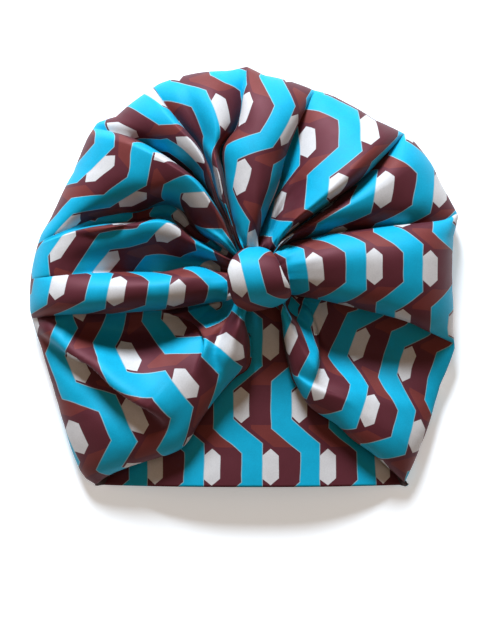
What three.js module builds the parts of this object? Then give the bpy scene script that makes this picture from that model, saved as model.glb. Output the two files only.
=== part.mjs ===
// A turban hat of printed satin, ready tied, lying on its back with the knot up.
// The crown is one cloth shell: eleven puffs run from the knot to the outline and turn under
// there. A flat back closes the pouch, a front panel shows below the knot, and the head goes
// in at the rim.
// Millimetres, +Z up, +Y towards the top of the hat, origin on the ground under its middle.
import * as THREE from "three";

// The crown, seen from above
const crownRadius = 176; // from the knot's middle to the outline, straight out to the side
const rimDrop = 178; // from the knot's middle down to the rim
const rimHalfWidth = 136; // half the rim, from corner to corner, laid flat
const rimShift = -5; // the rim's middle lies this far to the side of the knot

// The crown, seen from the side
const puffHeight = 72; // the fullest puff above the ground
const outlineHeight = 17; // the outermost edge of the cloth above the ground
const cornerHeight = 9; // the same at the two corners of the rim
const edgeRadius = 15; // how far in the round edge reaches under the hat
const edgeLip = 4; // flat strip of the crown beside the back
const cloth = 2; // outer cloth, wadding and lining together

// The knot
const knotWidth = 46;
const knotLength = 55;
const knotHeight = 39;
const knotSeat = 43; // the gathered cloth that the knot sits on, above the ground
const knotMargin = 4; // bare seat left round the knot

// The front panel
const panelHeight = 27; // its middle at the rim, above the ground
const panelRise = 8; // how much higher it lies under the knot
const panelInsetAtRim = 9; // from the crown's outline to the panel's side
const panelInset = 26; // the same beside the knot
const panelReach = 14; // how far it runs on past the knot's middle

// Room between pieces that touch
const seam = 0.4;
const drapeRoom = 3; // between the panel and the edges of the two drapes

// Creases run from the knot to the outline, counter-clockwise. Angles are degrees from +X
// where the crease leaves the knot, halfway out and at the outline. Reach is a share of
// crownRadius, floor a share of puffHeight near the knot, and fade the share of the crease's
// depth that is left at the outline.
const creases = [
  { name: "right drape edge", knot: -52, half: -67.6, outline: -53.8, midway: 0.67, floor: 0.5, fade: 1.0 },
  { name: "right roll, lower", knot: -27, half: -17.8, outline: -18.5, reach: 0.995, midway: 0.55, floor: 0.52, fade: 0.5 },
  { name: "right roll, upper", knot: 47, half: 22.5, outline: 17.3, reach: 1.015, midway: 0.6, floor: 0.56, fade: 0.6 },
  { name: "right pleat", knot: 53, half: 43.3, outline: 43.6, reach: 0.985, midway: 0.58, floor: 0.55, fade: 0.6 },
  { name: "top pleat, right", knot: 81, half: 75.7, outline: 71.4, reach: 0.926, midway: 0.58, floor: 0.58, fade: 0.5 },
  { name: "top pleat, left", knot: 108, half: 105, outline: 92.7, reach: 1.012, midway: 0.62, floor: 0.58, fade: 0.5 },
  { name: "left pleat, first", knot: 118, half: 113, outline: 118.4, reach: 1.04, midway: 0.61, floor: 0.58, fade: 0.5 },
  { name: "left pleat, second", knot: 127, half: 124.4, outline: 137.6, reach: 1.068, midway: 0.64, floor: 0.56, fade: 0.5 },
  { name: "left hollow", knot: 141, half: 146.6, outline: 170.7, reach: 1.078, midway: 0.6, floor: 0.5, fade: 0.15 },
  { name: "left roll, upper", knot: 172, half: 178, outline: 179.7, reach: 1.092, midway: 0.55, floor: 0.56, fade: 0.0 },
  { name: "left roll, lower", knot: 216, half: 196.8, outline: 191.6, reach: 1.105, midway: 0.57, floor: 0.52, fade: 0.25 },
  { name: "left drape edge", knot: 256, half: 251.4, outline: 231.6, midway: 0.64, floor: 0.5, fade: 1.0 },
];

// A puff lies between one crease and the next. Ridge is where its crest runs, as a share of
// the way across. Round is 1 for a side that slopes down to its crease and 2 for one that
// rolls over it. Height is a share of puffHeight, bulge of crownRadius.
const puffs = [
  { name: "right drape", ridge: 0.24, roundFirst: 2, roundLast: 1, height: 0.76, bulge: 0 },
  { name: "right roll", ridge: 0.48, roundFirst: 2, roundLast: 2, height: 1.0, bulge: -0.008 },
  { name: "right fan, lower", ridge: 0.46, roundFirst: 1, roundLast: 1.1, height: 0.87, bulge: 0.036 },
  { name: "right fan, upper", ridge: 0.34, roundFirst: 2, roundLast: 1.1, height: 1.0, bulge: 0.028 },
  { name: "top fan", ridge: 0.52, roundFirst: 1.9, roundLast: 1.6, height: 0.99, bulge: 0.012 },
  { name: "left fan, top", ridge: 0.5, roundFirst: 1.2, roundLast: 1.1, height: 0.88, bulge: 0.026 },
  { name: "left fan, middle", ridge: 0.32, roundFirst: 2, roundLast: 1.2, height: 0.95, bulge: 0 },
  { name: "left fan, lower", ridge: 0.26, roundFirst: 2, roundLast: 1.1, height: 1.0, bulge: 0.012 },
  { name: "left wing", ridge: 0.5, roundFirst: 1.2, roundLast: 1.3, height: 0.85, bulge: 0 },
  { name: "left roll", ridge: 0.48, roundFirst: 2, roundLast: 2, height: 0.95, bulge: 0.014 },
  { name: "left drape", ridge: 0.8, roundFirst: 1, roundLast: 2, height: 0.76, bulge: 0.03 },
];

// Soft folds across a puff: raised where lift is above 0, pressed in where it is below.
// From and to are shares of the way out, across the share of the way from one crease to the
// next, width the same, and lift a share of puffHeight.
const softFolds = [
  { puff: "left drape", from: 0.2, to: 0.95, across: 0.52, acrossEnd: 0.34, width: 0.13, lift: 0.13 },
  { puff: "left drape", from: 0.45, to: 1.0, across: 0.72, acrossEnd: 0.56, width: 0.12, lift: -0.1 },
  { puff: "right drape", from: 0.25, to: 0.9, across: 0.62, acrossEnd: 0.6, width: 0.2, lift: -0.1 },
  { puff: "left fan, top", from: 0.3, to: 1.0, across: 0.62, acrossEnd: 0.5, width: 0.14, lift: -0.09 },
  { puff: "right fan, upper", from: 0.0, to: 0.5, across: 0.72, acrossEnd: 0.55, width: 0.12, lift: -0.11 },
  { puff: "left fan, lower", from: 0.2, to: 0.9, across: 0.62, acrossEnd: 0.6, width: 0.2, lift: 0.05 },
];

// How finely the cloth is divided
const stepsAcrossPuff = 6;
const ringsOut = [0, 0.07, 0.15, 0.25, 0.36, 0.48, 0.6, 0.71, 0.81, 0.89, 0.945, 0.985, 1];
const edgeSteps = 3;
const backRings = [0.66, 0.33];

const radians = THREE.MathUtils.degToRad;
const lerp = THREE.MathUtils.lerp;

function polar(degrees, radius) {
  return new THREE.Vector2(Math.cos(radians(degrees)), Math.sin(radians(degrees))).multiplyScalar(radius);
}

// The point on the seat's edge in one direction: an ellipse a margin larger than the knot
function seatEdge(degrees) {
  const direction = polar(degrees, 1);
  return new THREE.Vector2(
    direction.x * (knotWidth / 2 + knotMargin),
    direction.y * (knotLength / 2 + knotMargin),
  );
}

const rightCorner = new THREE.Vector2(rimShift + rimHalfWidth, -rimDrop);
const leftCorner = new THREE.Vector2(rimShift - rimHalfWidth, -rimDrop);

function outlineEnd(index) {
  if (index === 0) return rightCorner;
  if (index === creases.length - 1) return leftCorner;
  return polar(creases[index].outline, creases[index].reach * crownRadius);
}

// Each crease seen from above is a curve through three points
function creaseLine(index) {
  const crease = creases[index];
  const start = seatEdge(crease.knot);
  const end = outlineEnd(index);
  const middle = polar(crease.half, crease.midway * crownRadius);
  return { start, middle, end };
}

const creaseLines = creases.map((crease, index) => creaseLine(index));

function throughThree(start, middle, end, share) {
  const control = middle.clone().multiplyScalar(2).addScaledVector(start, -0.5).addScaledVector(end, -0.5);
  const rest = 1 - share;
  return start
    .clone()
    .multiplyScalar(rest * rest)
    .addScaledVector(control, 2 * rest * share)
    .addScaledVector(end, share * share);
}

// The place on the ground of a point of the front cloth: puff, share across it, share out
function placeOnFront(index, across, out) {
  const [first, last] = [creaseLines[index], creaseLines[index + 1]];
  const start = first.start.clone().lerp(last.start, across);
  const middle = first.middle.clone().lerp(last.middle, across);
  const end = first.end.clone().lerp(last.end, across);
  const bow = 4 * across * (1 - across);
  const chord = last.end.clone().sub(first.end).normalize();
  const outward = new THREE.Vector2(chord.y, -chord.x);
  end.addScaledVector(outward, bow * puffs[index].bulge * crownRadius);
  const middleRadius = lerp(first.middle.length(), last.middle.length(), across);
  middle.setLength(lerp(middle.length(), middleRadius, 0.7));
  return throughThree(start, middle, end, out);
}

// Height of the crests on the way out, as a share: low at the knot, full halfway, lower again
function crestRise(out) {
  const fullest = 0.45;
  const atKnot = knotSeat / puffHeight;
  if (out < fullest) return 1 - (1 - atKnot) * Math.pow(1 - out / fullest, 2.4);
  return 1 - 0.16 * Math.pow((out - fullest) / (1 - fullest), 2);
}

// How the cloth turns down to its outer edge
function shoulder(out) {
  return Math.sqrt(Math.max(0, 1 - Math.pow(out, 7)));
}

function archAcross(puff, across) {
  const onFirst = across < puff.ridge;
  const away = onFirst ? (puff.ridge - across) / puff.ridge : (across - puff.ridge) / (1 - puff.ridge);
  return Math.pow(Math.max(0, 1 - away * away), 1 / (onFirst ? puff.roundFirst : puff.roundLast));
}

function creaseFloor(index, out) {
  const crease = creases[index];
  const crest = crestRise(out);
  const depth = lerp(crest - crease.floor, (crest - crease.floor) * crease.fade, out * out);
  const opening = Math.min(1, out / 0.12);
  return crest - Math.max(0, depth) * opening;
}

function softFoldLift(puff, across, out) {
  let lift = 0;
  for (const fold of softFolds) {
    if (fold.puff !== puff.name || out < fold.from || out > fold.to) continue;
    const along = (out - fold.from) / (fold.to - fold.from);
    const middle = lerp(fold.across, fold.acrossEnd, along);
    const aside = (across - middle) / fold.width;
    lift += fold.lift * Math.exp(-aside * aside) * Math.sin(Math.PI * Math.min(1, along * 1.15 + 0.02));
  }
  return lift;
}

function edgeHeightAt(index, across) {
  const last = creases.length - 1;
  const place = index + across;
  const fromCorner = Math.min(place, last - place);
  return lerp(cornerHeight, outlineHeight, Math.min(1, fromCorner));
}

// Top of the front panel above the ground, at a place given from the knot's middle
function panelTop(x, y) {
  const alongPanel = THREE.MathUtils.clamp((y + rimDrop) / (rimDrop + panelReach), 0, 1);
  const [left, right] = panelSides(y);
  const aside = THREE.MathUtils.clamp((x - (left + right) / 2) / ((right - left) / 2), -1, 1);
  const low = 2 * cloth + seam;
  const arch = 1 - Math.pow(Math.abs(aside), 2.4);
  return low + (panelHeight + panelRise * alongPanel - low) * arch;
}

// The panel's two sides, at a place given from the knot's middle
function panelSides(y) {
  const share = THREE.MathUtils.clamp((y + rimDrop) / rimDrop, 0, 1);
  const widest = crownRadius - panelInset;
  return [
    lerp(leftCorner.x + panelInsetAtRim, -widest, share),
    lerp(rightCorner.x - panelInsetAtRim, widest, share),
  ];
}

function frontPoint(index, across, out) {
  const puff = puffs[index];
  const place = placeOnFront(index, across, out);
  const floor = lerp(creaseFloor(index, out), creaseFloor(index + 1, out), across);
  const crest = crestRise(out) * lerp(1, puff.height, Math.min(1, out / 0.25));
  const arch = archAcross(puff, across);
  const lift = softFoldLift(puff, across, out);
  const full = puffHeight * (floor + (crest - floor) * arch + lift);
  const edge = edgeHeightAt(index, across);
  let height = edge + (full - edge) * shoulder(out);
  const atDrapeEdge = (index === 0 && across === 0) || (index === puffs.length - 1 && across === 1);
  if (atDrapeEdge) {
    const resting = panelTop(place.x, place.y) + drapeRoom;
    height = lerp(Math.max(knotSeat, resting), resting, Math.min(1, out / 0.12));
    if (out === 1) height = cornerHeight;
  }
  return new THREE.Vector3(place.x, place.y, height);
}

// Shares across a puff, close together at its creases
function sharesAcross() {
  const shares = [];
  for (let step = 0; step < stepsAcrossPuff; step++) {
    shares.push((1 - Math.cos((Math.PI * step) / stepsAcrossPuff)) / 2);
  }
  return shares;
}

// A skin is a list of points and of triangles that face out
class Skin {
  constructor() {
    this.points = [];
    this.faces = [];
  }
  add(point) {
    this.points.push(point);
    return this.points.length - 1;
  }
  quad(a, b, c, d) {
    this.faces.push([a, b, c], [a, c, d]);
  }
  // Two rows of points, joined by quads; the first row lies on the left of the second
  strip(rowA, rowB) {
    for (let i = 0; i + 1 < rowA.length; i++) this.quad(rowA[i], rowB[i], rowB[i + 1], rowA[i + 1]);
  }
}

// A closed solid from an open skin: a copy one wall further in, and faces round the free edges
function thicken(skin, wall) {
  const count = skin.points.length;
  const normals = skin.points.map(() => new THREE.Vector3());
  const edges = new Map();
  for (const face of skin.faces) {
    const [a, b, c] = face.map((index) => skin.points[index]);
    const normal = b.clone().sub(a).cross(c.clone().sub(a));
    for (const index of face) normals[index].add(normal);
    for (let i = 0; i < 3; i++) {
      const [from, to] = [face[i], face[(i + 1) % 3]];
      if (!edges.delete(to + "/" + from)) edges.set(from + "/" + to, [from, to]);
    }
  }
  const positions = [];
  for (const point of skin.points) positions.push(point.x, point.y, point.z);
  skin.points.forEach((point, index) => {
    const inner = point.clone().addScaledVector(normals[index].normalize(), -wall);
    positions.push(inner.x, inner.y, inner.z);
  });
  const faces = [];
  for (const [a, b, c] of skin.faces) faces.push(a, b, c, a + count, c + count, b + count);
  for (const [from, to] of edges.values()) {
    faces.push(to, from, from + count, to, from + count, to + count);
  }
  const geometry = new THREE.BufferGeometry();
  geometry.setAttribute("position", new THREE.Float32BufferAttribute(positions, 3));
  geometry.setIndex(faces);
  return geometry;
}

function crownColumns() {
  const columns = [];
  puffs.forEach((puff, index) => {
    for (const across of sharesAcross()) columns.push({ index, across });
  });
  columns.push({ index: puffs.length - 1, across: 1 });
  return columns;
}

// The outer edge of the crown once it has turned under by a share, moved further in by more
function edgeLine(share, more) {
  const columns = crownColumns();
  const turn = (Math.PI / 2) * share;
  return columns.map(({ index, across }, i) => {
    const point = frontPoint(index, across, 1);
    const atCorner = i === 0 || i === columns.length - 1;
    const reach = atCorner ? edgeRadius / 2 : edgeRadius;
    const place = new THREE.Vector2(point.x, point.y);
    const inward = reach * (1 - Math.cos(turn)) + more;
    if (atCorner) place.x -= Math.sign(place.x) * inward;
    else place.setLength(place.length() - inward);
    place.y = Math.max(place.y, -rimDrop);
    return new THREE.Vector3(place.x, place.y, point.z * (1 - Math.sin(turn)));
  });
}

function crownSkin() {
  const skin = new Skin();
  const columns = crownColumns();

  // The front, from the seat under the knot out to the edge
  const seatRow = [];
  const rows = ringsOut.map(() => []);
  for (const { index, across } of columns) {
    const edge = frontPoint(index, across, 0);
    seatRow.push(skin.add(new THREE.Vector3(edge.x * 0.45, edge.y * 0.45, knotSeat)));
    ringsOut.forEach((out, ring) => rows[ring].push(skin.add(frontPoint(index, across, out))));
  }
  skin.strip(seatRow, rows[0]);
  for (let ring = 0; ring + 1 < rows.length; ring++) skin.strip(rows[ring], rows[ring + 1]);

  // The round edge turns under the hat and ends in a flat lip
  let outer = rows[rows.length - 1];
  for (let step = 1; step <= edgeSteps; step++) {
    const row = edgeLine(step / edgeSteps, 0).map((point) => skin.add(point));
    skin.strip(outer, row);
    outer = row;
  }
  skin.strip(outer, edgeLine(1, edgeLip).map((point) => skin.add(point)));
  return skin;
}

function buildCrown() {
  return thicken(crownSkin(), cloth);
}

// The back: flat cloth on the ground, inside the crown's lip and cut straight at the rim
function buildBack() {
  const skin = new Skin();
  let outer = edgeLine(1, edgeLip + seam).map((point) => skin.add(point));
  for (const share of backRings) {
    const row = outer.map((index) => {
      const point = skin.points[index];
      const onRim = point.y <= -rimDrop;
      return skin.add(new THREE.Vector3(point.x * share, onRim ? point.y : point.y * share, 0));
    });
    skin.strip(outer, row);
    outer = row;
  }
  const middle = skin.add(new THREE.Vector3(0, -rimDrop, 0));
  for (let i = 0; i + 1 < outer.length; i++) skin.faces.push([outer[i], middle, outer[i + 1]]);
  return thicken(skin, cloth);
}

function buildPanel() {
  const skin = new Skin();
  const stepsUp = 9;
  const stepsWide = 20;
  const rows = [];
  for (let up = 0; up <= stepsUp; up++) {
    const y = lerp(-rimDrop, panelReach, up / stepsUp);
    const [left, right] = panelSides(y);
    const row = [];
    for (let wide = 0; wide <= stepsWide; wide++) {
      const share = (1 - Math.cos((Math.PI * wide) / stepsWide)) / 2;
      const x = lerp(left, right, share);
      row.push(skin.add(new THREE.Vector3(x, y, panelTop(x, y))));
    }
    rows.push(row);
  }
  for (let up = 0; up + 1 < rows.length; up++) skin.strip(rows[up + 1], rows[up]);
  return thicken(skin, cloth);
}

// The knot: a puffed band of cloth, wider than it is at its seat, with pinched folds along it
function buildKnot() {
  const around = 28;
  const up = 9;
  const bottom = knotSeat + seam;
  const points = [];
  const faces = [];
  const ring = [];
  for (let level = 0; level <= up; level++) {
    const turn = -0.86 + (1.86 * level) / up;
    const spread = Math.sqrt(Math.max(0, 1 - Math.pow(Math.abs(turn), 2.6)));
    const height = bottom + (knotHeight * (turn + 0.86)) / 1.86;
    ring.push(points.length / 3);
    if (level === up) {
      points.push(0, 0, height);
      break;
    }
    for (let step = 0; step < around; step++) {
      const degrees = (360 * step) / around;
      const pinch = 1 - 0.09 * Math.pow(Math.cos(radians(degrees) * 3 + 0.6), 6);
      const place = polar(degrees, spread * pinch);
      points.push((place.x * knotWidth) / 2, (place.y * knotLength) / 2, height);
    }
  }
  points.push(0, 0, bottom);
  const underside = points.length / 3 - 1;
  for (let level = 0; level < up; level++) {
    for (let step = 0; step < around; step++) {
      const next = (step + 1) % around;
      const [a, b] = [ring[level] + step, ring[level] + next];
      if (level === up - 1) {
        faces.push(a, b, ring[up]);
        continue;
      }
      const [c, d] = [ring[level + 1] + next, ring[level + 1] + step];
      faces.push(a, b, c, a, c, d);
    }
  }
  for (let step = 0; step < around; step++) faces.push(underside, (step + 1) % around, step);
  const geometry = new THREE.BufferGeometry();
  geometry.setAttribute("position", new THREE.Float32BufferAttribute(points, 3));
  geometry.setIndex(faces);
  return geometry;
}

function namedMesh(name, geometry, colour) {
  const material = new THREE.MeshStandardMaterial({ color: colour, roughness: 0.45, metalness: 0 });
  const mesh = new THREE.Mesh(geometry, material);
  mesh.name = name;
  return mesh;
}

const turban = new THREE.Group();
turban.add(namedMesh("crown", buildCrown(), 0x4a2226));
turban.add(namedMesh("back", buildBack(), 0x4a2226));
turban.add(namedMesh("front_panel", buildPanel(), 0x1f9fc0));
turban.add(namedMesh("knot", buildKnot(), 0x6a2a24));

// The origin goes under the middle of the whole hat
const box = new THREE.Box3().setFromObject(turban);
turban.position.set(-(box.min.x + box.max.x) / 2, -(box.min.y + box.max.y) / 2, -box.min.z);

export default turban;
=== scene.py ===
import math

import bpy
import numpy as np
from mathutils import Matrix, Vector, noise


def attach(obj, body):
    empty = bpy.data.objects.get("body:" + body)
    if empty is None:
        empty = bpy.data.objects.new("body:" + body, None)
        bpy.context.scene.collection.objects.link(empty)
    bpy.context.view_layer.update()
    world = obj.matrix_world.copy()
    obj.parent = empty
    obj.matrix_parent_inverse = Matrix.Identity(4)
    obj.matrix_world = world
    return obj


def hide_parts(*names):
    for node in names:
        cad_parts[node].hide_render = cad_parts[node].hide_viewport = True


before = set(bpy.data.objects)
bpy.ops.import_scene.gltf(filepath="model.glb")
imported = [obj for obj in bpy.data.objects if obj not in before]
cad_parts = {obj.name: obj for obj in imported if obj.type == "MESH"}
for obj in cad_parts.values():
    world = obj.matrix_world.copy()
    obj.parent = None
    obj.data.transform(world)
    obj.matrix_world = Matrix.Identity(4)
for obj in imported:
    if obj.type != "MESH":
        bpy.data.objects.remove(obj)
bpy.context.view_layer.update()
mm = 0.001


def lerp(a, b, share):
    return a + (b - a) * share


def smoothStep(low, high, value):
    share = np.clip((value - low) / (high - low), 0.0, 1.0)
    return share * share * (3 - 2 * share)


class Nodes:
    # a small helper that adds nodes to a material and joins them up
    def __init__(self, tree):
        self.tree = tree

    def add(self, kind):
        return self.tree.nodes.new(kind)

    def plug(self, socket, value):
        if isinstance(value, (int, float)):
            socket.default_value = value
        else:
            self.tree.links.new(value, socket)

    def math(self, operation, a, b=0.0, c=0.0):
        node = self.add("ShaderNodeMath")
        node.operation = operation
        for socket, value in zip(node.inputs, (a, b, c)):
            self.plug(socket, value)
        return node.outputs[0]

    def inside(self, distance, edge=0.3):
        # 1 where distance is below 0, with an edge this many millimetres soft
        node = self.add("ShaderNodeMapRange")
        self.plug(node.inputs["Value"], distance)
        node.inputs["From Min"].default_value = -edge / 2
        node.inputs["From Max"].default_value = edge / 2
        node.inputs["To Min"].default_value = 1.0
        node.inputs["To Max"].default_value = 0.0
        return node.outputs["Result"]

    def mix(self, factor, a, b):
        node = self.add("ShaderNodeMix")
        node.data_type = "RGBA"
        self.plug(node.inputs["Factor"], factor)
        for name, value in (("A", a), ("B", b)):
            socket = [s for s in node.inputs if s.name == name and s.type == "RGBA"][0]
            if isinstance(value, tuple):
                socket.default_value = value + (1.0,)
            else:
                self.tree.links.new(value, socket)
        return [s for s in node.outputs if s.type == "RGBA"][0]

    def noiseOf(self, vector, scale, detail=2.0):
        node = self.add("ShaderNodeTexNoise")
        self.plug(node.inputs["Vector"], vector)
        node.inputs["Scale"].default_value = scale
        node.inputs["Detail"].default_value = detail
        return node.outputs["Fac"]

    def scaled(self, vector, factor):
        node = self.add("ShaderNodeVectorMath")
        node.operation = "SCALE"
        self.plug(node.inputs[0], vector)
        self.plug(node.inputs["Scale"], factor)
        return node.outputs[0]

    def bump(self, height, strength, distance):
        node = self.add("ShaderNodeBump")
        self.plug(node.inputs["Height"], height)
        node.inputs["Strength"].default_value = strength
        node.inputs["Distance"].default_value = distance
        return node.outputs["Normal"]


# Camera, floor and light

view = {
    "middle": (-4.2, -36.5),    # mm, what the middle of the picture looks at
    "tall": 537.6,              # mm from the top of the picture to the bottom
    "level": 35.0,              # mm above the ground where that holds
    "distance": 1500.0,         # mm from there up to the camera
    "sensor": 36.0,             # mm
}
light = {
    "sky": 0.185, "skyColour": (1.0, 0.6, 0.29),
    "horizon": (0.88, 0.86, 0.83), "horizonTall": 0.14,
    # watts, metres across and metres from the middle of the hat
    "key": {"power": 282.0, "size": 1.1, "from": (-0.55, 3.05, 1.95), "colour": (0.79, 0.9, 1.0)},
    "fill": {"power": 4.0, "size": 1.6, "from": (0.1, 0.2, 1.9), "colour": (1.0, 0.9, 0.8)},
    "aim": (0, -0.03, 0.03),    # m, where both lamps point
    "floorHalf": 3.0,           # m, half of the floor's side
    "floorColour": (0.94, 0.95, 0.97),
    "floorGlow": 0.34, "glowColour": (0.88, 0.95, 1.0),     # lightens the shadow, as on a light table
}


def placeCamera():
    data = bpy.data.cameras.new("camera")
    data.sensor_width = view["sensor"]
    data.lens = view["sensor"] * view["distance"] / view["tall"]
    data.clip_end = 20.0
    camera = bpy.data.objects.new("camera", data)
    height = view["distance"] + view["level"]
    camera.location = (view["middle"][0] * mm, view["middle"][1] * mm, height * mm)
    bpy.context.collection.objects.link(camera)
    bpy.context.scene.camera = camera
    bpy.context.scene.view_settings.view_transform = "Standard"


def areaLight(name):
    settings = light[name]
    data = bpy.data.lights.new(name + "Light", "AREA")
    data.shape = "DISK"
    data.energy = settings["power"]
    data.size = settings["size"]
    data.color = settings["colour"]
    lamp = bpy.data.objects.new(name + "Light", data)
    lamp.location = settings["from"]
    towards = Vector(light["aim"]) - Vector(settings["from"])
    lamp.rotation_euler = towards.to_track_quat("-Z", "Y").to_euler()
    bpy.context.collection.objects.link(lamp)


def setStage():
    world = bpy.data.worlds.new("sky")
    world.use_nodes = True
    kit = Nodes(world.node_tree)
    direction = kit.add("ShaderNodeTexCoord")
    upward = kit.add("ShaderNodeSeparateXYZ")
    kit.plug(upward.inputs[0], direction.outputs["Generated"])
    tall = light["horizonTall"]
    pale = kit.inside(kit.math("SUBTRACT", upward.outputs["Z"], tall), tall)
    sky = tuple(light["sky"] * channel for channel in light["skyColour"])
    background = world.node_tree.nodes["Background"]
    kit.plug(background.inputs["Color"], kit.mix(pale, sky, light["horizon"]))
    bpy.context.scene.world = world
    areaLight("key")
    areaLight("fill")
    mesh = bpy.data.meshes.new("floor")
    half = light["floorHalf"]
    corners = [(-half, -half, 0), (half, -half, 0), (half, half, 0), (-half, half, 0)]
    mesh.from_pydata(corners, [], [(0, 1, 2, 3)])
    floor = bpy.data.objects.new("floor", mesh)
    bpy.context.collection.objects.link(floor)
    material = bpy.data.materials.new("paleFloor")
    material.use_nodes = True
    shader = material.node_tree.nodes["Principled BSDF"]
    shader.inputs["Base Color"].default_value = light["floorColour"] + (1,)
    shader.inputs["Roughness"].default_value = 0.9
    shader.inputs["Specular IOR Level"].default_value = 0.1
    shader.inputs["Emission Color"].default_value = light["glowColour"] + (1,)
    shader.inputs["Emission Strength"].default_value = light["floorGlow"]
    floor.data.materials.append(material)


placeCamera()
setStage()
print("camera, floor and light are set")


# The printed satin and the lining

clothPrint = {
    "repeatWide": 49.3,     # mm from one ribbon to the next
    "repeatTall": 52.7,     # mm from a bend to the next one back
    "sway": 12.3,           # mm that a ribbon moves to either side
    "slope": 40.0,          # degrees, of the slanting stretches
    "ribbon": 16.3,         # mm wide, turquoise
    "gem": (14.1, 30.8),    # mm wide and tall, the cream hexagons
    "dark": 18.9,           # mm wide, the brown between them
    "line": 0.55,           # mm, the pale edge of a ribbon
    "lozengeTall": 0.92,    # the rust lozenges' share of a slanting stretch
    "lozengeInset": 1.2,    # mm of brown left on each side of one
    "turquoise": (0.0, 0.31, 0.49),
    "brown": (0.068, 0.012, 0.018),
    "rust": (0.122, 0.022, 0.020),
    "cream": (0.52, 0.50, 0.50),
    "pale": (0.22, 0.38, 0.43),
}
# mm across the print from a ribbon's start to a hexagon's middle
hexagonAt = clothPrint["ribbon"] / 2 + clothPrint["gem"][0] / 2 + clothPrint["sway"]

satin = {
    "stray": 3.0,           # mm by which the print wanders off the thread
    "strayScale": 0.03,
    "patches": 0.2, "patchScale": 0.12,     # how uneven the dye is, in broad patches
    "grain": 0.2, "grainScale": 0.8,        # and in fine grain
    "rough": 0.54, "roughPatches": 0.12,
    "whiteInGloss": 0.35,   # the rest of the gloss has the dye's colour
    "sheen": 0.03, "sheenRough": 0.4,
    "threads": (3.4, 0.5, 1.0),     # how fine they are across the cloth and along it
    "threadStrength": 0.12, "threadDepth": 0.0004,
}
liningCloth = {
    "dark": (0.030, 0.010, 0.011), "pale": (0.045, 0.014, 0.016), "patchScale": 0.2,
    "rough": 0.6,
    "weave": 2.5, "weaveStrength": 0.2, "weaveDepth": 0.0003,
}


def printColour(kit, across, along):
    # the repeat: ribbons that sway from side to side, hexagons in their bends
    wide, tall, sway = clothPrint["repeatWide"], clothPrint["repeatTall"], clothPrint["sway"]
    ribbonHalf, darkHalf = clothPrint["ribbon"] / 2, clothPrint["dark"] / 2
    gemWide, gemTall = clothPrint["gem"]
    slope = math.radians(clothPrint["slope"])
    tangent, sine = math.tan(slope), math.sin(slope)
    folded = kit.math("PINGPONG", along, tall)
    across = kit.math("WRAP", across, 0.0, wide)
    slant = kit.math("MULTIPLY", kit.math("SUBTRACT", folded, tall / 2), -1 / tangent)

    def ribbonDistance(shift):
        # signed distance from the middle line of the swaying ribbon that starts at this shift
        x = kit.math("SUBTRACT", across, shift)
        low = kit.math("SUBTRACT", x, sway)
        high = kit.math("ADD", x, sway)
        middle = kit.math("MULTIPLY", kit.math("SUBTRACT", x, slant), sine)
        return kit.math("MINIMUM", kit.math("MAXIMUM", low, middle), high)

    def nearest(shift, copies):
        result = None
        for copy in copies:
            distance = kit.math("ABSOLUTE", ribbonDistance(shift + copy * wide))
            result = distance if result is None else kit.math("MINIMUM", result, distance)
        return result

    def gemDistance(side, level):
        # hexagon on one side of the sway: side is +1 at the low bends and -1 at the high ones
        x = kit.math("SUBTRACT", across, ribbonHalf + gemWide / 2 + side * sway + wide / 2)
        x = kit.math("SUBTRACT", kit.math("WRAP", x, 0.0, wide), wide / 2)
        x = kit.math("ABSOLUTE", x)
        y = kit.math("ABSOLUTE", kit.math("SUBTRACT", folded, level))
        sides = kit.math("SUBTRACT", x, gemWide / 2)
        tips = kit.math("ADD", kit.math("SUBTRACT", y, gemTall / 2), kit.math("MULTIPLY", x, tangent))
        return kit.math("MAXIMUM", sides, tips)

    ribbon = nearest(0.0, (-1, 0, 1, 2))
    darkBand = nearest(ribbonHalf + gemWide + darkHalf, (-2, -1, 0, 1))
    gem = kit.math("MINIMUM", gemDistance(1, 0.0), gemDistance(-1, tall))
    fromSlant = kit.math("ABSOLUTE", kit.math("SUBTRACT", folded, tall / 2))
    pastSlant = kit.math("SUBTRACT", fromSlant, sway * tangent * clothPrint["lozengeTall"])
    pastSides = kit.math("SUBTRACT", darkBand, darkHalf - clothPrint["lozengeInset"])
    lozenge = kit.math("MAXIMUM", pastSlant, pastSides)
    colour = kit.mix(kit.inside(lozenge), clothPrint["brown"], clothPrint["rust"])
    colour = kit.mix(kit.inside(gem), colour, clothPrint["cream"])
    pastLine = kit.math("SUBTRACT", ribbon, ribbonHalf + clothPrint["line"])
    colour = kit.mix(kit.inside(pastLine), colour, clothPrint["pale"])
    pastRibbon = kit.math("SUBTRACT", ribbon, ribbonHalf)
    return kit.mix(kit.inside(pastRibbon), colour, clothPrint["turquoise"])


def startMaterial(name):
    # a new material, its nodes and shader, and the cloth's flat map in mm
    material = bpy.data.materials.new(name)
    material.use_nodes = True
    kit = Nodes(material.node_tree)
    uv = kit.add("ShaderNodeUVMap")
    uv.uv_map = "cloth"
    return material, kit, material.node_tree.nodes["Principled BSDF"], uv.outputs["UV"]


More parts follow.
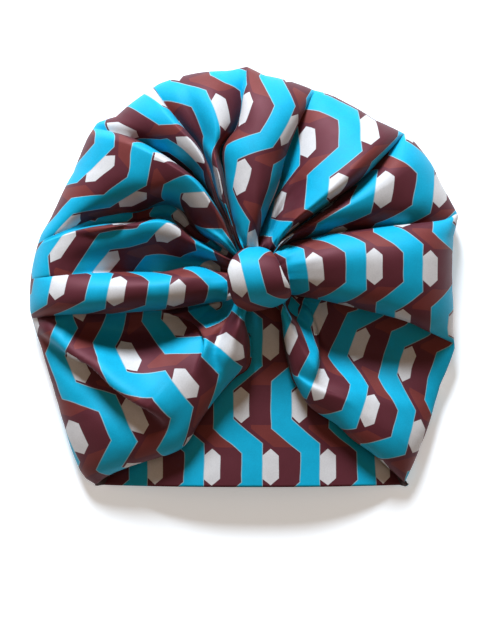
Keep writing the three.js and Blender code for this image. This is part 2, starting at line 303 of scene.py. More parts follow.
def satinMaterial(name):
    material, kit, shader, flat = startMaterial(name)
    place = kit.add("ShaderNodeSeparateXYZ")
    kit.plug(place.inputs[0], flat)
    # the print is never quite true to the thread
    drift = kit.noiseOf(flat, satin["strayScale"], 1.0)
    bend = kit.math("MULTIPLY", kit.math("SUBTRACT", drift, 0.5), satin["stray"])
    across = kit.math("ADD", place.outputs["X"], bend)
    along = kit.math("ADD", place.outputs["Y"], bend)
    colour = printColour(kit, across, along)
    # a little unevenness of the dye
    patch = kit.noiseOf(flat, satin["patchScale"], 3.0)
    grain = kit.noiseOf(flat, satin["grainScale"], 1.0)
    cloud = kit.math("ADD", kit.math("MULTIPLY", patch, satin["patches"]), 1 - satin["patches"])
    shade = kit.math("ADD", cloud, kit.math("MULTIPLY", grain, satin["grain"]))
    kit.plug(shader.inputs["Base Color"], kit.scaled(colour, shade))
    rough = kit.math("ADD", kit.math("MULTIPLY", patch, satin["roughPatches"]), satin["rough"])
    kit.plug(shader.inputs["Roughness"], rough)
    shader.inputs["Specular IOR Level"].default_value = 0.5
    # the gloss of dyed satin takes part of the dye's colour
    channels = kit.add("ShaderNodeSeparateColor")
    kit.plug(channels.inputs[0], colour)
    red, green, blue = channels.outputs
    strongest = kit.math("MAXIMUM", kit.math("MAXIMUM", red, green), blue)
    dye = kit.scaled(colour, kit.math("DIVIDE", 1.0, strongest))
    kit.plug(shader.inputs["Specular Tint"], kit.mix(satin["whiteInGloss"], dye, (1.0, 1.0, 1.0)))
    shader.inputs["Sheen Weight"].default_value = satin["sheen"]
    shader.inputs["Sheen Roughness"].default_value = satin["sheenRough"]
    # satin floats: long fine threads along the cloth, short ones across it
    stretch = kit.add("ShaderNodeVectorMath")
    stretch.operation = "MULTIPLY"
    kit.plug(stretch.inputs[0], flat)
    stretch.inputs[1].default_value = satin["threads"]
    threads = kit.noiseOf(stretch.outputs[0], 1.0)
    kit.plug(shader.inputs["Normal"], kit.bump(threads, satin["threadStrength"], satin["threadDepth"]))
    return material


def liningMaterial():
    # plain woven lining, seen only inside the rim
    material, kit, shader, flat = startMaterial("lining")
    patch = kit.noiseOf(flat, liningCloth["patchScale"])
    kit.plug(shader.inputs["Base Color"], kit.mix(patch, liningCloth["dark"], liningCloth["pale"]))
    shader.inputs["Roughness"].default_value = liningCloth["rough"]
    weave = kit.add("ShaderNodeTexChecker")
    weave.inputs["Scale"].default_value = liningCloth["weave"]
    kit.plug(weave.inputs["Vector"], flat)
    woven = kit.bump(weave.outputs["Fac"], liningCloth["weaveStrength"], liningCloth["weaveDepth"])
    kit.plug(shader.inputs["Normal"], woven)
    return material


printedSatin = satinMaterial("printedSatin")
lining = liningMaterial()
print("the printed satin and the lining are made")


# The crown and its back

crown = {
    "fullest": 72.0,        # mm, the highest puffs above the ground
    "underKnot": 45.0,      # mm, the gathers where they meet under the knot
    "fullAt": 0.42,         # share of the way out where the crests are full
    "crestFall": 0.16,      # share of their height that they lose from there to the outline
    "shoulder": 7,          # the higher, the later and steeper the cloth comes down at the outline
    "edge": 17.0,           # mm, the outermost cloth above the ground
    "cornerEdge": 9.0,
    "turnUnder": 15.0,      # mm that the round edge reaches back under
    "lip": 4.0,             # mm, the flat strip beside the back
    "backGap": 0.4,         # mm between the strip and the back
    "cloth": 2.0,           # mm
    "overPanel": (10.0, 3.0),       # mm, the drapes' edges above the panel, at the knot and the rim
    "readAt": (0.15, 0.5, 1.0),     # near the knot, halfway and at the outline
    "formBlend": (0.2, 0.65),       # between these shares the first form gives way to the second
    "hangUntil": 0.78,      # from this share on, rolled sides stop hanging over
    "uprightRoll": 84.0,    # degrees, all that they turn at the outline
    "crowd": 0.13,          # how much closer the columns stand at the crests and creases
    "crestRound": 0.04,     # the round crest of a plane, as a share of its width
    "waveWide": 26.0, "waveLong": 70.0, "waveHigh": 2.4,    # mm, slow unevenness of the cloth
    "pleatAngle": 0.1,      # radians round the knot, how close the small pleats are
    "pleatLong": 90.0, "pleatHigh": 4.5,        # mm
    "pleatsFull": 30.0, "pleatsGone": 75.0,     # mm from the knot's middle
    "lapSharp": 2.0,        # mm, how soon a tuck's lap rises
    "rings": 108,           # rows of the mesh from the knot to the outline
    "cut": (0.56, 0.45),    # m, the cloth before it was gathered
    "backCut": (0.335, 0.34), "backArea": 0.092,        # m and square metres, cut to the outline
}
knotMiddle = (11.6, 0.3)    # mm, in the part's frame

# Creases from the knot to the outline, counter-clockwise, as seen from above in mm. Before and
# after say how the puffs on the two sides come down to the crease:
#   roll, degrees      round a curve; 90 drops straight down and more hangs over
#   slope, power       2 is soft and 1 straight
#   plane, fall, power evenly by the share fall, and the rest near the crease
#   step, start, end   between two shares of the way
# Two of them are for near the knot and near the outline. Floor is the crease's height near the
# knot, halfway and at the outline, as a share of the crests' height there.
creases = [
    {"name": "rightDrapeEdge", "before": [("roll", 90)], "after": [("roll", 108)],
     "floor": (0.5, 0.4, 0.3),
     "line": [(18, -14), (29, -29), (33, -54), (39, -80), (43, -91), (55, -110), (77, -125),
              (92, -139), (111, -153), (139, -178)]},
    {"name": "underRightRoll", "before": [("step", 0.05, 0.42), ("step", 0.0, 0.5)],
     "after": [("roll", 126)], "floor": (0.26, 0.24, 0.36),
     "line": [(22, -8), (38, -15), (65, -20), (103, -29), (133, -37), (153, -46), (176, -56)]},
    {"name": "overRightRoll", "before": [("roll", 108)], "after": [("plane", 0.35, 3.0)],
     "floor": (0.4, 0.5, 0.62),
     "line": [(20, 13), (32, 26), (58, 33), (80, 37), (122, 42), (164, 47), (180, 54)]},
    {"name": "rightPleat", "before": [("roll", 86)], "after": [("roll", 116)],
     "floor": (0.38, 0.42, 0.6),
     "line": [(22, 19), (38, 37), (68, 59), (95, 79), (118, 103), (131, 118)]},
    {"name": "topPleatRight", "before": [("plane", 0.5, 2.4)], "after": [("roll", 106)],
     "floor": (0.4, 0.46, 0.66),
     "line": [(11, 16), (12, 34), (19, 54), (28, 76), (34, 100), (46, 130), (59, 157)]},
    {"name": "topPleatLeft", "before": [("roll", 108)], "after": [("slope", 1.7)],
     "floor": (0.56, 0.46, 0.66),
     "line": [(1, 17), (-5.5, 31), (-10, 46), (-13, 60), (-17, 85), (-19, 106), (-8, 123),
              (-4, 136), (-2, 157), (2, 178)]},
    {"name": "leftPleatFirst", "before": [("plane", 0.35, 2.6)], "after": [("roll", 108)],
     "floor": (0.58, 0.5, 0.7),
     "line": [(-1, 15), (-8.5, 31), (-14.5, 46), (-22.5, 62), (-29, 89), (-39, 109), (-53, 126),
              (-66, 143), (-77, 160)]},
    {"name": "leftPleatSecond", "before": [("plane", 0.5, 2.6)], "after": [("roll", 112)],
     "floor": (0.4, 0.44, 0.66),
     "line": [(-3, 13), (-11, 30), (-17, 46), (-27, 63), (-40, 80), (-63, 98), (-88, 113),
              (-108, 121), (-130, 127)]},
    {"name": "leftHollow", "before": [("plane", 0.34, 8.0), ("plane", 0.34, 4.0)],
     "after": [("step", 0.0, 0.5), ("step", 0.0, 0.55)], "floor": (0.2, 0.18, 0.92),
     "line": [(-2, 10), (-13, 20), (-26, 29), (-38, 37), (-46, 44), (-54, 55), (-63, 61),
              (-74, 61), (-91, 55), (-108, 53), (-132, 47), (-178, 28)]},
    {"name": "overLeftRoll", "before": [("step", 0.05, 0.85), ("plane", 0.75, 2.2)],
     "after": [("roll", 100)], "floor": (0.36, 0.42, 0.94),
     "line": [(-2, 2), (-16, 3), (-42, 9), (-69, 4), (-90, 4), (-122, 3), (-139, 2), (-182, -2)]},
    {"name": "underLeftRoll", "before": [("roll", 124)],
     "after": [("step", 0.1, 0.95), ("step", 0.0, 0.95)], "floor": (0.3, 0.3, 0.6),
     "line": [(0, -14), (-14, -20), (-27, -22), (-66, -28), (-82, -29), (-109, -31),
              (-149, -32), (-180, -35)]},
    {"name": "leftDrapeEdge", "before": [("roll", 108)], "after": [("roll", 90)],
     "floor": (0.5, 0.4, 0.3),
     "line": [(6, -18), (0, -35), (4, -54), (3, -75), (-9, -85), (-22, -100), (-36, -119),
              (-48, -139), (-60, -148), (-92, -158), (-117, -170), (-128, -178)]},
]

# The puff after each crease. Ridge is how far across it the crest runs, and height the crest's,
# as a share of the fullest, each near the knot, halfway and at the outline. Lean is how far the
# print leans to the right from upright, in degrees, and hexagon where one of its hexagons has its
# middle, in mm. Columns are on the two sides of the crest. Pleats, in mm, stands for pleatHigh.
puffs = [
    {"name": "rightDrape", "ridge": (0.26, 0.2, 0.2), "height": (0.72, 0.62, 0.6), "lean": 30,
     "hexagon": (104, -112), "columns": (22, 40)},
    {"name": "rightRoll", "ridge": (0.55, 0.6, 0.62), "height": (0.93, 0.96, 0.98), "lean": 0,
     "hexagon": (106, 9), "pleats": 1.5, "columns": (20, 18)},
    {"name": "rightFanLower", "ridge": (0.62, 0.66, 0.7), "height": (0.84, 0.86, 0.88), "lean": 2,
     "hexagon": (115, 72), "columns": (18, 10)},
    {"name": "rightFanUpper", "ridge": (0.24, 0.18, 0.16), "height": (0.95, 1.0, 1.0), "lean": 4,
     "hexagon": (102, 123), "columns": (12, 20)},
    {"name": "topFan", "ridge": (0.4, 0.42, 0.44), "height": (0.95, 0.98, 1.0), "lean": 25,
     "hexagon": (37, 121), "columns": (14, 14)},
    {"name": "leftFanTop", "ridge": (0.5, 0.45, 0.45), "height": (0.9, 0.88, 0.88), "lean": -18,
     "hexagon": (-17, 137), "pleats": 0.5, "columns": (12, 14)},
    {"name": "leftFanMiddle", "ridge": (0.16, 0.14, 0.12), "height": (0.76, 0.92, 0.95), "lean": -50,
     "hexagon": (-45, 105), "pleats": 0.5, "columns": (10, 18)},
    {"name": "leftFanLower", "ridge": (0.14, 0.1, 0.09), "height": (0.97, 1.0, 1.0), "lean": 50,
     "hexagon": (-119, 89), "columns": (12, 28)},
    {"name": "leftWing", "ridge": (0.36, 0.28, 0.08), "height": (0.76, 0.8, 0.9), "lean": 25,
     "hexagon": (-63, 36), "columns": (14, 18)},
    {"name": "leftRoll", "ridge": (0.45, 0.45, 0.45), "height": (0.9, 0.92, 0.94), "lean": 8,
     "hexagon": (-105, -11), "pleats": 1.5, "columns": (14, 16)},
    {"name": "leftDrape", "ridge": (0.72, 0.66, 0.6), "height": (0.8, 0.74, 0.7), "lean": -28,
     "hexagon": (-92, -118), "columns": (42, 22)},
]

# The outline's distance from its middle, in mm, by the angle counter-clockwise from +X,
# between the two corners of the rim
outlineMiddle = (1.7, 3.8)
outlineTable = {
    -54: 226, -50: 218, -45: 209, -40: 202, -35: 195, -30: 190, -20: 188, -15: 181, -5: 175,
    0: 174, 5: 175, 10: 178, 15: 186, 20: 183, 25: 181, 30: 182, 40: 180, 45: 174, 50: 169,
    60: 167, 65: 167, 70: 165, 80: 167, 85: 168, 90: 175, 95: 172, 105: 175, 115: 177, 120: 175,
    130: 173, 135: 180, 140: 177, 145: 173, 150: 170, 160: 171, 165: 173, 170: 178, 180: 183,
    190: 187, 200: 186, 205: 188, 210: 191, 215: 196, 220: 203, 225: 212, 230: 221, 232: 223,
    235: 222,
}

# Long soft folds, each a line seen from above in mm: lift in mm is above 0 for a ridge, sides
# are how far it spreads to the left and right of its line, in mm
softFolds = [
    {"on": "leftDrape", "lift": -11, "sides": (10, 18),
     "line": [(-150, -38), (-120, -44), (-90, -48), (-66, -52)]},
    {"on": "leftDrape", "lift": 6, "sides": (8, 7),
     "line": [(-170, -38), (-148, -52), (-120, -65), (-103, -80), (-85, -94), (-66, -112)]},
    {"on": "leftDrape", "lift": -5, "sides": (8, 12),
     "line": [(-160, -72), (-135, -84), (-118, -98), (-100, -112), (-84, -124)]},
    {"on": "leftDrape", "lift": -8, "sides": (4, 4),
     "line": [(-9, -32), (-19, -48), (-24, -64), (-22, -82)]},
    {"on": "leftDrape", "lift": 4, "sides": (5, 5),
     "line": [(-3, -36), (-9, -52), (-12, -66), (-14, -80)]},
    {"on": "rightDrape", "lift": -5, "sides": (18, 16),
     "line": [(80, -50), (110, -62), (140, -72), (165, -80)]},
    {"on": "rightDrape", "lift": 3, "sides": (5, 10),
     "line": [(62, -92), (92, -96), (124, -104), (158, -112)]},
    {"on": "leftWing", "lift": -3, "sides": (9, 8),
     "line": [(-76, 22), (-100, 20), (-130, 16), (-160, 10)]},
    {"on": "leftFanLower", "lift": 9, "sides": (5, 5),
     "line": [(-12, 22), (-26, 31), (-40, 37), (-52, 44)]},
    {"on": "leftFanLower", "lift": -4, "sides": (4, 6),
     "line": [(-20, 36), (-34, 44), (-50, 54), (-66, 60)]},
    {"on": "rightFanUpper", "lift": 6, "sides": (4, 4),
     "line": [(14, 26), (20, 44), (28, 66), (38, 84)]},
    {"on": "rightFanUpper", "lift": -7, "sides": (4, 5),
     "line": [(20, 24), (27, 44), (36, 62), (50, 84)]},
    {"on": "leftFanTop", "lift": -6, "sides": (6, 7),
     "line": [(-20, 88), (-30, 110), (-45, 140), (-50, 165)]},
    {"on": "leftFanTop", "lift": 5, "sides": (4, 4),
     "line": [(-12, 50), (-22, 84), (-34, 110)]},
]

# Tucks, where the cloth on the left of the line laps over the cloth on its right: lift and over
# are how far it stands up and reaches across, high and low how far each side is bent, in mm, and
# ends the shares of the line over which the tuck fades in and out
tucks = [
    {"on": "leftDrape", "line": [(-182, -40), (-157, -57), (-143, -66), (-125, -73), (-110, -86),
                                 (-97, -96), (-81, -106), (-69, -117), (-60, -129)],
     "lift": 14.0, "over": 6.0, "high": 20.0, "low": 16.0, "ends": (0.1, 0.25)},
    {"on": "leftDrape", "line": [(-72, -28), (-47, -36), (-36, -46), (-33, -58), (-39, -74), (-44, -88)],
     "lift": 9.0, "over": 4.0, "high": 14.0, "low": 12.0, "ends": (0.15, 0.4)},
    {"on": "rightDrape", "line": [(57, -92), (61, -76), (62, -57), (60, -41), (53, -27), (44, -17)],
     "lift": 8.0, "over": 2.2, "high": 12.0, "low": 22.0, "ends": (0.35, 0.2)},
    {"on": "rightDrape", "line": [(38, -78), (52, -88), (72, -97), (96, -106)],
     "lift": -3.0, "over": 1.5, "high": 8.0, "low": 8.0, "ends": (0.2, 0.6)},
    {"on": "leftWing", "line": [(-148, 34), (-122, 36), (-100, 43), (-82, 50)],
     "lift": 3.0, "over": 1.5, "high": 9.0, "low": 8.0, "ends": (0.4, 0.3)},
]


def lengthsAlong(points):
    # how far each point, or row of points, is from the first, measured from point to point
    steps = np.linalg.norm(np.diff(points, axis=0), axis=-1)
    return np.concatenate([np.zeros_like(steps[:1]), np.cumsum(steps, axis=0)])


def resample(points, shares):
    # a smooth curve through the points, read at shares of its length
    points = np.array(points, float)
    fine = []
    padded = np.vstack([2 * points[0] - points[1], points, 2 * points[-1] - points[-2]])
    for i in range(1, len(padded) - 2):
        a, b, c, d = padded[i - 1:i + 3]
        for t in np.linspace(0, 1, 12, endpoint=False):
            fine.append(0.5 * (2 * b + (c - a) * t + (2 * a - 5 * b + 4 * c - d) * t ** 2
                               + (3 * b - a - 3 * c + d) * t ** 3))
    fine.append(points[-1])
    fine = np.array(fine)
    length = lengthsAlong(fine)
    length /= length[-1]
    return np.stack([np.interp(shares, length, column) for column in fine.T], axis=1)


def onOutline(point):
    # moves a point straight out from the middle on to the outline
    angles = np.array(sorted(outlineTable))
    radii = np.array([outlineTable[a] for a in angles], float)
    away = point - np.array(outlineMiddle)
    degrees = np.degrees(np.arctan2(away[..., 1], away[..., 0]))
    degrees = np.where(degrees < -90, degrees + 360, degrees)
    radius = np.interp(degrees, angles, radii)
    size = np.linalg.norm(away, axis=-1)
    return np.array(outlineMiddle) + away * (radius / size)[..., None]


def crestRise(out):
    # height of the crests on the way out: low under the knot, then full, then a little lower
    atKnot = crown["underKnot"] / crown["fullest"]
    fullAt = crown["fullAt"]
    near = 1 - (1 - atKnot) * np.clip(1 - out / fullAt, 0, 1) ** 3.0
    far = 1 - crown["crestFall"] * ((out - fullAt) / (1 - fullAt)) ** 2
    return np.where(out < fullAt, near, far)


def shoulder(out):
    return np.sqrt(np.clip(1 - out ** crown["shoulder"], 0, 1))


# The front panel's own sizes come first, because the edges of the drapes lie on it
panel = {
    "drop": 178.0,              # mm from the knot's middle to the rim
    "atRim": (-132.0, 122.0),   # mm, its sides there, from the knot's middle
    "inside": 40.0,             # mm, half its width inside, at the knot
    "reach": 14.0,              # mm behind the knot's middle
    "low": 4.4, "high": 27.0,   # mm, its arch
    "arch": 2.4,                # the higher, the flatter its top
    "waveWide": 55.0, "waveLong": 30.0, "waveHigh": 1.2,    # mm, slow unevenness of the cloth
    "cloth": 2.0,               # mm
    "up": 90, "wide": 120,      # rows and columns of its mesh
    "hexagon": (-28.0, -161.0),     # mm, the middle of one of the print's hexagons
    "cut": (0.27, 0.192), "cutArea": 0.033,     # m and square metres
}


def panelSides(y):
    share = np.clip((y - knotMiddle[1] + panel["drop"]) / panel["drop"], 0, 1)
    return [lerp(atRim, inside, share) + knotMiddle[0]
            for atRim, inside in zip(panel["atRim"], (-panel["inside"], panel["inside"]))]


def panelTop(x, y):
    # top of the front panel, the same arch as in the solids
    left, right = panelSides(y)
    aside = np.clip((x - (left + right) / 2) / ((right - left) / 2), -1, 1)
    return panel["low"] + (panel["high"] - panel["low"]) * (1 - np.abs(aside) ** panel["arch"])


def comeDown(q, form):
    # one side of a puff from its crest, q 0, to the crease, q 1: sideways and height shares
    kind = form[0]
    if kind == "roll":
        turn = np.radians(form[1])
        up = (np.cos(q * turn) - np.cos(turn)) / (1 - np.cos(turn))
        return np.sin(q * turn) / np.sin(turn), up
    side = q - crown["crowd"] * np.sin(2 * np.pi * q)
    if kind == "slope":
        return side, 1 - side ** form[1]
    if kind == "step":
        return side, 1 - smoothStep(form[1], form[2], side)
    small = crown["crestRound"]
    rounded = (np.sqrt(side ** 2 + small ** 2) - small) / (math.sqrt(1 + small ** 2) - small)
    return side, 1 - form[1] * rounded - (1 - form[1]) * side ** form[2]


def sideAt(q, forms, out):
    calm = float(smoothStep(crown["hangUntil"], 1.0, out))
    shapes = []
    for form in (forms[0], forms[-1]):
        if form[0] == "roll":
            form = ("roll", lerp(form[1], min(form[1], crown["uprightRoll"]), calm))
        shapes.append(comeDown(q, form))
    blend = float(smoothStep(*crown["formBlend"], out))
    side, up = [lerp(near, far, blend) for near, far in zip(*shapes)]
    # the furthest reach of an overhanging side is what one sees as the crease
    return side / max(1.0, side.max()), up


def buildPuff(index, out):
    puff, first, last = puffs[index], creases[index], creases[index + 1]
    lineA, lineB = resample(first["line"], out), resample(last["line"], out)
    ridge = np.interp(out, crown["readAt"], puff["ridge"])
    rise = crestRise(out) * crown["fullest"]
    height = np.interp(out, crown["readAt"], puff["height"])
    crest = rise * lerp(1.0, height, smoothStep(0.0, 0.25, out))
    deep = smoothStep(0.02, 0.16, out)      # right under the knot the creases are shallow
    floorA, floorB = [rise * (1 - (1 - np.interp(out, crown["readAt"], crease["floor"])) * deep)
                      for crease in (first, last)]
    qA, qB = [np.linspace(0, 1, count + 1) for count in puff["columns"]]
    rows = []
    for ring in range(len(out)):
        sideA, upA = sideAt(qA[::-1], first["after"], out[ring])
        sideB, upB = sideAt(qB, last["before"], out[ring])
        across = np.concatenate([ridge[ring] * (1 - sideA), ridge[ring] + (1 - ridge[ring]) * sideB[1:]])
        heightA, heightB = lerp(floorA[ring], crest[ring], upA), lerp(floorB[ring], crest[ring], upB)
        place = lineA[ring][None] + (lineB[ring] - lineA[ring])[None] * across[:, None]
        rows.append(np.column_stack([place, np.concatenate([heightA, heightB[1:]])]))
    return [np.stack(rows)[..., axis] for axis in range(3)]


def lineDistance(x, y, line):
    # signed distance to a line of points, the share along it of the nearest place, and the
    # direction to its left there
    points = resample(line, np.linspace(0, 1, 22))
    starts = lengthsAlong(points)
    best = np.full(x.shape, 1e9)
    share, signed, leftX, leftY = [np.zeros(x.shape) for _ in range(4)]
    for point, following, start in zip(points[:-1], points[1:], starts):
        length = np.linalg.norm(following - point)
        dx, dy = (following - point) / length
        t = np.clip((x - point[0]) * dx + (y - point[1]) * dy, 0, length)
        awayX, awayY = x - (point[0] + dx * t), y - (point[1] + dy * t)
        distance = np.hypot(awayX, awayY)
        side = dx * awayY - dy * awayX
        closer = distance < best
        best = np.where(closer, distance, best)
        share = np.where(closer, (start + t) / starts[-1], share)
        signed = np.where(closer, np.where(side > 0, distance, -distance), signed)
        leftX, leftY = np.where(closer, -dy, leftX), np.where(closer, dx, leftY)
    return signed, share, leftX, leftY


def addFolds(name, x, y, z, out, calm):
    lift = np.zeros(x.shape)
    for fold in softFolds:
        if fold["on"] == name:
            signed, share, _, _ = lineDistance(x, y, fold["line"])
            spread = np.where(signed > 0, fold["sides"][0], fold["sides"][1])
            swell = np.sin(np.pi * np.clip(share, 0.03, 0.97)) ** 0.7       # fades towards both ends
            lift += fold["lift"] * np.exp(-(signed / spread) ** 2) * swell
    z = z + lift * calm
    laps = (1 - smoothStep(0.75, 0.97, out))[:, None]       # nothing laps over at the outline
    for tuck in tucks:
        if tuck["on"] != name:
            continue
        signed, share, leftX, leftY = lineDistance(x, y, tuck["line"])
        start, end = tuck["ends"]
        there = calm * smoothStep(-1e-6, start, share) * smoothStep(-1e-6, end, 1 - share)
        upper = (1 + np.tanh(signed / crown["lapSharp"])) / 2
        high, low = np.exp(-(signed / tuck["high"]) ** 2), np.exp(-(signed / tuck["low"]) ** 2)
        z = z + there * tuck["lift"] * (upper * high - 0.5 * (1 - upper) * low)
        shift = there * tuck["over"] * (0.5 * (1 - upper) * low - upper * high) * laps
        x, y = x + shift * leftX, y + shift * leftY
    return x, y, z


def noiseGrid(u, v, wide, tall, seed):
    flat = np.stack([u.ravel() / wide, v.ravel() / tall], axis=1)
    return np.array([noise.noise(Vector((a, b, seed))) for a, b in flat]).reshape(u.shape)


def clothMap(x, y, z, crestColumn):
    # true lengths along the crest of a puff and across it
    points = np.stack([x, y, z], axis=-1)
    along = lengthsAlong(points[:, crestColumn])
    across = lengthsAlong(points.swapaxes(0, 1)).T
    across = across - across[:, crestColumn][:, None]
    return across, np.repeat(along[:, None], x.shape[1], axis=1)


def printMap(puff, x, y, u, v):
    # turns the map so that the print leans as it should, and moves it to put a hexagon in place
    rows, crest = x.shape[0], puff["columns"][0]
    near, far = int(rows * 0.3), int(rows * 0.85)       # the puff runs as its crest does between these
    ridge = math.atan2(y[far, crest] - y[near, crest], x[far, crest] - x[near, crest])
    turn = ridge + math.radians(puff["lean"])
    px = v * math.cos(turn) - u * math.sin(turn)
    py = v * math.sin(turn) + u * math.cos(turn)
    nearest = np.argmin((x - puff["hexagon"][0]) ** 2 + (y - puff["hexagon"][1]) ** 2)
    return px - px.ravel()[nearest] + hexagonAt, py - py.ravel()[nearest]


def gridFaces(rows, columns):
    index = np.arange(rows * columns).reshape(rows, columns)
    corners = [index[:-1, :-1], index[1:, :-1], index[1:, 1:], index[:-1, 1:]]
    return np.stack(corners, axis=-1).reshape(-1, 4)


class Patchwork:
    # grids of points in mm, each with its own place in the print, gathered into one mesh
    def __init__(self):
        self.points, self.faces, self.maps, self.count = [], [], [], 0

    def add(self, x, y, z, px, py, flip=False):
        quads = gridFaces(*x.shape)
        if flip:
            quads = quads[:, ::-1]
        self.points.append(np.stack([x, y, z], axis=-1).reshape(-1, 3))
        self.maps.append(np.stack([px, py], axis=-1).reshape(-1, 2)[quads].reshape(-1, 2))
        self.faces.append(quads + self.count)
        self.count += x.size

    def build(self, name, materials, thick):
        mesh = bpy.data.meshes.new(name)
        points = np.vstack(self.points) * mm
        mesh.from_pydata(points.tolist(), [], np.vstack(self.faces).tolist())
        layer = mesh.uv_layers.new(name="cloth")
        layer.data.foreach_set("uv", np.vstack(self.maps).astype(np.float32).ravel())
        for material in materials:
            mesh.materials.append(material)
        mesh.polygons.foreach_set("use_smooth", [True] * len(mesh.polygons))
        obj = bpy.data.objects.new(name, mesh)
        bpy.context.collection.objects.link(obj)
        weld = obj.modifiers.new("weld", "WELD")
        weld.merge_threshold = 0.02 * mm
        if thick:
            wall = obj.modifiers.new("wall", "SOLIDIFY")
            wall.thickness = thick * mm
            wall.offset = -1
            wall.material_offset = len(materials) - 1
        graph = bpy.context.evaluated_depsgraph_get()
        applied = bpy.data.meshes.new_from_object(obj.evaluated_get(graph), depsgraph=graph)
        obj.modifiers.clear()
        obj.data = applied
        return obj


def crownGrids():
    # rings stand closer together towards the outline
    out = np.sin(np.linspace(0, 1, crown["rings"]) * math.pi / 2) ** 1.1
    grids, maps = [], []
    for index, puff in enumerate(puffs):
        x, y, z = buildPuff(index, out)
        u, v = clothMap(x, y, z, puff["columns"][0])
        sideways = np.linspace(0, 1, x.shape[1])[None, :]
        calm = np.clip(np.sin(np.pi * sideways) * 4, 0, 1)      # 0 at the creases
        seed = index * 3.1
        slow = noiseGrid(u, v, crown["waveWide"], crown["waveLong"], seed) * crown["waveHigh"]
        # small pleats that run out from under the knot
        aside = np.arctan2(y - knotMiddle[1], x - knotMiddle[0])
        away = np.hypot(x - knotMiddle[0], y - knotMiddle[1])
        pleats = noiseGrid(aside, away, crown["pleatAngle"], crown["pleatLong"], seed + 7)
        pleats = pleats * puff.get("pleats", crown["pleatHigh"])
        pleats = pleats * smoothStep(crown["pleatsGone"], crown["pleatsFull"], away)
        z = z + (slow + pleats) * calm
        x, y, z = addFolds(puff["name"], x, y, z, out, calm)
        # the last rings are pulled to the outline, and the cloth turns down there
        ends = np.stack([x[-1], y[-1]], axis=1)
        pull = onOutline(ends) - ends
        if index == 0:
            pull[0] = 0
        if index == len(puffs) - 1:
            pull[-1] = 0
        weight = smoothStep(0.45, 1.0, out)[:, None]        # the outer half gives way
        x, y = x + pull[None, :, 0] * weight, y + pull[None, :, 1] * weight
        edge = np.full(x.shape[1], crown["edge"])
        if index == 0:
            edge = lerp(crown["cornerEdge"], crown["edge"], sideways[0])
        if index == len(puffs) - 1:
            edge = lerp(crown["edge"], crown["cornerEdge"], sideways[0])
        z = edge[None, :] + (z - edge[None, :]) * shoulder(out)[:, None]
        grids.append([x, y, z])
        maps.append(printMap(puff, x, y, u, v))
    # neighbours share their crease
    for one, other in zip(grids[:-1], grids[1:]):
        for axis in range(3):
            shared = (one[axis][:, -1] + other[axis][:, 0]) / 2
            one[axis][:, -1] = other[axis][:, 0] = shared
    # the edges of the two drapes come down to the panel
    for (x, y, z), column in ((grids[0], 0), (grids[-1], -1)):
        above = lerp(*crown["overPanel"], smoothStep(0.2, 0.75, out))
        rest = panelTop(x[:, column], y[:, column]) + above
        z[:, column] = lerp(crown["underKnot"], rest, smoothStep(0.0, 0.15, out))
        z[-1, column] = crown["cornerEdge"]
    return grids, maps


def turnedEdge(loop, share, more):
    # the outer edge of the cloth once it has turned under by a share, then moved further in
    turn = share * math.pi / 2
    reach = np.full(len(loop), crown["turnUnder"])
    reach[[0, -1]] /= 2     # less at the two corners of the rim
    inward = reach * (1 - math.cos(turn)) + more
    away = loop[:, :2] - np.array(knotMiddle)
    size = np.linalg.norm(away, axis=1)
    plan = np.array(knotMiddle) + away * ((size - inward) / size)[:, None]
    for corner in (0, -1):
        plan[corner] = loop[corner, :2] - np.array([np.sign(away[corner, 0]) * inward[corner], 0])
    plan[:, 1] = np.maximum(plan[:, 1], loop[0, 1])
    return np.column_stack([plan, loop[:, 2] * (1 - math.sin(turn))])


def buildCrown(grids, maps, loop):
    cloth = Patchwork()
    for (x, y, z), (px, py) in zip(grids, maps):
        cloth.add(x, y, z, px, py)
    # the edge turns under, and each puff's print runs on round it
    first = 0
    for (x, y, z), (px, py) in zip(grids, maps):
        count = x.shape[1]
        part = slice(first, first + count)
        rows = [loop] + [turnedEdge(loop, share, 0) for share in np.linspace(0, 1, 8)[1:]]
        rows.append(turnedEdge(loop, 1, crown["lip"]))
        rows = np.stack(rows)[:, part]
        run = lengthsAlong(rows)
        onward = np.stack([px[-1] - px[-4], py[-1] - py[-4]])
        onward /= np.maximum(np.linalg.norm(onward, axis=0), 1e-6)
        pxTurned, pyTurned = px[-1] + onward[0] * run, py[-1] + onward[1] * run
        cloth.add(rows[..., 0], rows[..., 1], rows[..., 2], pxTurned, pyTurned)
        first += count - 1
    return cloth.build("crownCloth", [printedSatin, lining], crown["cloth"])


def buildBack(loop):
    cloth = Patchwork()
    edge = turnedEdge(loop, 1, crown["lip"] + crown["backGap"])
    middle = np.array([knotMiddle[0], loop[0, 1]])      # the rows draw in towards the rim's middle
    rows = []
    for share in np.linspace(1, 0.02, 14):
        plan = middle + (edge[:, :2] - middle) * share
        rows.append(np.column_stack([plan, np.zeros(len(plan))]))
    rows = np.stack(rows)
    cloth.add(rows[..., 0], rows[..., 1], rows[..., 2], -rows[..., 0], rows[..., 1])
    return cloth.build("backCloth", [printedSatin, lining], crown["cloth"])


crownParts, crownMaps = crownGrids()
outerEdges = [np.stack(grid, axis=-1)[-1] for grid in crownParts]
outerLoop = np.vstack([outerEdges[0]] + [edge[1:] for edge in outerEdges[1:]])
crownCloth = buildCrown(crownParts, crownMaps, outerLoop)
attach(crownCloth, "root")
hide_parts("crown")
backCloth = buildBack(outerLoop)
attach(backCloth, "root")
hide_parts("back")
print("the crown and its back are made,", len(crownCloth.data.polygons), "faces")


# The front panel

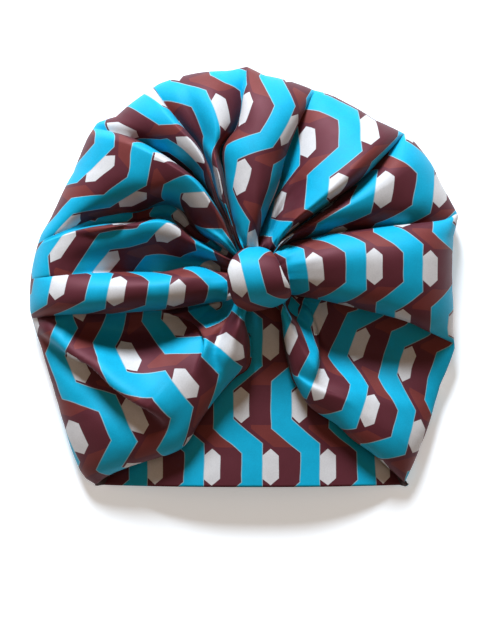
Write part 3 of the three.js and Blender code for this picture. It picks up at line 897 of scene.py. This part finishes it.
def buildPanel():
    up = np.linspace(0, 1, panel["up"])
    wide = (1 - np.cos(np.pi * np.linspace(0, 1, panel["wide"]))) / 2
    rim = knotMiddle[1] - panel["drop"]
    y = lerp(rim, knotMiddle[1] + panel["reach"], up)[:, None] * np.ones((1, len(wide)))
    left, right = panelSides(y)
    x = left + (right - left) * wide[None, :]
    z = panelTop(x, y)
    wave = noiseGrid(x, y, panel["waveWide"], panel["waveLong"], 5.5) * panel["waveHigh"]
    z = z + wave * np.sin(np.pi * wide)[None, :]
    across = lengthsAlong(np.stack([x, z], axis=-1).swapaxes(0, 1)).T
    middle = x.shape[1] // 2
    across = across - across[:, middle][:, None] + x[:, middle][:, None]
    px = across - panel["hexagon"][0] + hexagonAt
    cloth = Patchwork()
    cloth.add(x, y, z, px, y - panel["hexagon"][1], flip=True)
    return cloth.build("panelCloth", [printedSatin, lining], panel["cloth"])


panelCloth = buildPanel()
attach(panelCloth, "root")
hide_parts("front_panel")
print("the front panel is made")


# The knot

# A loop of cloth folded lengthwise and drawn over the gathers from top to bottom. Each station
# along it, from the top, has its place y, its height z and its left and right edge x, in mm.
knot = {
    "stations": [(19.0, 46.5, 2.0, 15.0), (19.5, 53.0, -3.5, 20.0), (17.5, 61.0, -7.5, 23.5),
                 (12.5, 68.5, -11.5, 27.0), (6.5, 72.5, -13.8, 29.4), (-1.0, 74.0, -14.8, 32.0),
                 (-8.0, 73.0, -14.4, 35.0), (-15.5, 69.0, -12.0, 37.2), (-21.5, 62.5, -9.5, 38.0),
                 (-26.0, 55.0, -5.0, 35.0), (-28.0, 48.0, 2.0, 30.0)],
    "thick": 8.0,           # mm that the outside stands above the loop's middle
    "under": 5.0,           # mm that the inside lies below it
    "lowest": 43.6,         # mm above the ground
    "sideRound": 0.9, "topRound": 0.75,     # the lower, the squarer its section
    "grooves": [(-0.47, 3.6, 0.1), (0.14, 2.0, 0.14), (0.62, 1.8, 0.12)],   # place, depth in mm, width
    "grooveDrift": 0.1,     # how far the grooves move across from one end to the other
    "ridgeWide": 6.5, "ridgeLong": 26.0, "ridgeHigh": 1.6,      # mm, small creases along it
    "ends": 0.08,           # share of its length in which each end closes
    "along": 90, "around": 96,      # rows and columns of its mesh
    "tilt": 7.0,            # mm that its lower end is higher on the right
    "printStart": 37.0,     # mm, the print at the left edge
    "printShear": 0.25, "printScale": 1.15,
}


def buildKnot():
    t = np.linspace(0, 1, knot["along"])
    line = resample(knot["stations"], t)
    ahead = np.gradient(line[:, :2], axis=0)
    ahead /= np.linalg.norm(ahead, axis=1)[:, None]
    outward = np.stack([ahead[:, 1], -ahead[:, 0]], axis=1)     # away from the loop's inside, in y and z
    turn = np.linspace(0, 2 * math.pi, knot["around"])
    across, up = np.cos(turn), np.sin(turn)
    across = np.sign(across) * np.abs(across) ** knot["sideRound"]
    lift = np.where(up > 0, knot["thick"] * np.abs(up) ** knot["topRound"], -knot["under"] * np.abs(up))
    middle, half = (line[:, 2] + line[:, 3]) / 2, (line[:, 3] - line[:, 2]) / 2
    x = middle[:, None] + half[:, None] * across[None, :]
    lift = np.repeat(lift[None, :], len(t), axis=0)
    for place, deep, wide in knot["grooves"]:
        bend = place + knot["grooveDrift"] * (t - 0.5)[:, None]
        lift = lift - deep * np.exp(-((across[None, :] - bend) / wide) ** 2) * (up[None, :] > 0.02)
    ridges = noiseGrid(x, line[:, 0][:, None] + 0 * x, knot["ridgeWide"], knot["ridgeLong"], 3.3)
    ridges = ridges * knot["ridgeHigh"] * np.clip(up[None, :] * 2, 0, 1)
    ends = np.clip(np.minimum(t, 1 - t)[:, None] / knot["ends"], 0, 1) ** 0.5
    lift = (lift + ridges) * ends
    tilt = knot["tilt"] * smoothStep(0.35, 0.9, t)[:, None] * (1 + across[None, :]) / 2
    y = line[:, 0][:, None] - outward[:, 0][:, None] * lift + tilt
    z = np.maximum(line[:, 1][:, None] - outward[:, 1][:, None] * lift, knot["lowest"])
    # the ends are drawn to a point, so the loop is closed
    for end in (0, -1):
        x[end], y[end], z[end] = x[end].mean(), y[end].mean(), z[end].mean()
    run = lengthsAlong(line[:, :2])
    py = (run[len(t) // 2] - run)[:, None] + 0 * x
    px = knot["printStart"] - (x - line[:, 2].min() + knot["printShear"] * py) * knot["printScale"]
    cloth = Patchwork()
    cloth.add(x, y, z, px, py)
    return cloth.build("knotCloth", [printedSatin], 0)


knotCloth = buildKnot()
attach(knotCloth, "root")
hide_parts("knot")
print("the knot is made")
